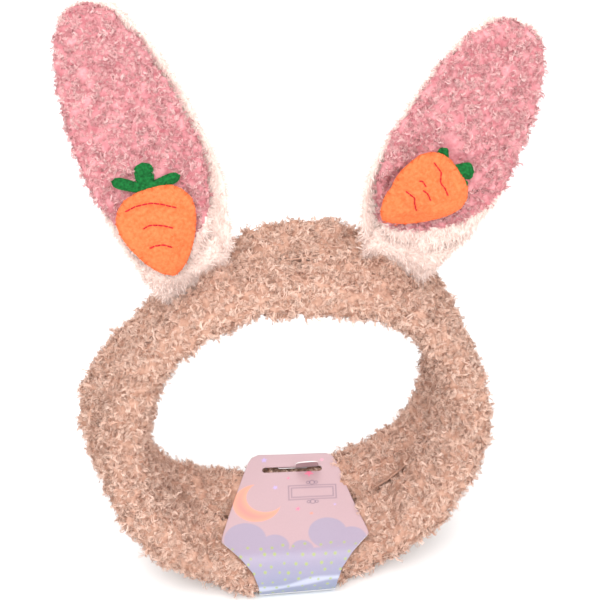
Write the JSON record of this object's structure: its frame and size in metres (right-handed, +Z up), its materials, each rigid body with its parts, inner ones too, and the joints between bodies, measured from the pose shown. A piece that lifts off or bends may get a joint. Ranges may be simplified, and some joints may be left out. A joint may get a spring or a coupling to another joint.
{
  "type": "animal ears headband",
  "caption": "Soft padded fleece hair band with two plush rabbit ears, a padded carrot on each ear, and a folded hang card round the nape.",
  "frame": {"origin": "middle of the flat face of the card under the nape, on which the band rests", "axes": "+Z up through the loop towards the ears, -Y to the front of the ears, +X to the right seen from the front"},
  "size_m": [0.2262, 0.1001, 0.3132],
  "materials": {
    "beige_fleece": "curly coral fleece, matt",
    "pink_fleece": "curly coral fleece, matt",
    "white_plush": "short smooth plush, soft sheen",
    "orange_velour": "short velour, soft sheen",
    "orange_felt": "thin felt, matt",
    "green_felt": "felt, matt",
    "red_thread": "twisted sewing thread",
    "beige_thread": "twisted sewing thread",
    "wadding": "polyester wadding",
    "elastic": "woven elastic tape",
    "printed_card": "gloss coated printed card"
  },
  "bodies": {
    "band": {"band_front_cover": "beige_fleece", "band_back_cover": "beige_fleece", "band_front_wadding": "wadding", "band_back_wadding": "wadding", "centre_elastic": "elastic", "outer_seam_thread": "beige_thread", "inner_seam_thread": "beige_thread", "left_ear_root": "white_plush", "right_ear_root": "white_plush", "card_back_panel": "printed_card"},
    "card_flap": {"card_front_panel": "printed_card"},
    "left_ear": {"left_ear_back": "white_plush", "left_ear_wadding": "wadding", "left_ear_front": "pink_fleece", "left_carrot_backing": "orange_felt", "left_carrot_wadding": "wadding", "left_carrot_cover": "orange_velour", "left_carrot_leaves": "green_felt", "left_carrot_stitch_top": "red_thread", "left_carrot_stitch_middle": "red_thread", "left_carrot_stitch_bottom": "red_thread"},
    "right_ear": {"right_ear_back": "white_plush", "right_ear_wadding": "wadding", "right_ear_front": "pink_fleece", "right_carrot_backing": "orange_felt", "right_carrot_wadding": "wadding", "right_carrot_cover": "orange_velour", "right_carrot_leaves": "green_felt", "right_carrot_stitch_top": "red_thread", "right_carrot_stitch_middle_left": "red_thread", "right_carrot_stitch_middle_right": "red_thread", "right_carrot_stitch_bottom": "red_thread"}
  },
  "joints": [
    {"name": "left_ear_bend", "type": "hinge", "parent": "band", "child": "left_ear", "pos_m": [-0.04664, 0.002, 0.19109], "axis": [0.9466, 0, 0.3223], "range_deg": [-30, 45], "stiffness_Nm_per_rad": 0.08, "springref_deg": 1.26},
    {"name": "right_ear_bend", "type": "hinge", "parent": "band", "child": "right_ear", "pos_m": [0.05501, 0.004, 0.18621], "axis": [0.9063, 0, -0.4226], "range_deg": [-42, 45], "stiffness_Nm_per_rad": 0.08, "springref_deg": 0.11},
    {"name": "card_flap_fold", "type": "hinge", "parent": "band", "child": "card_flap", "pos_m": [-0.00265, -0.03786, 0.0043], "axis": [0.9976, -0.0698, 0], "range_deg": [0, 130]}
  ]
}
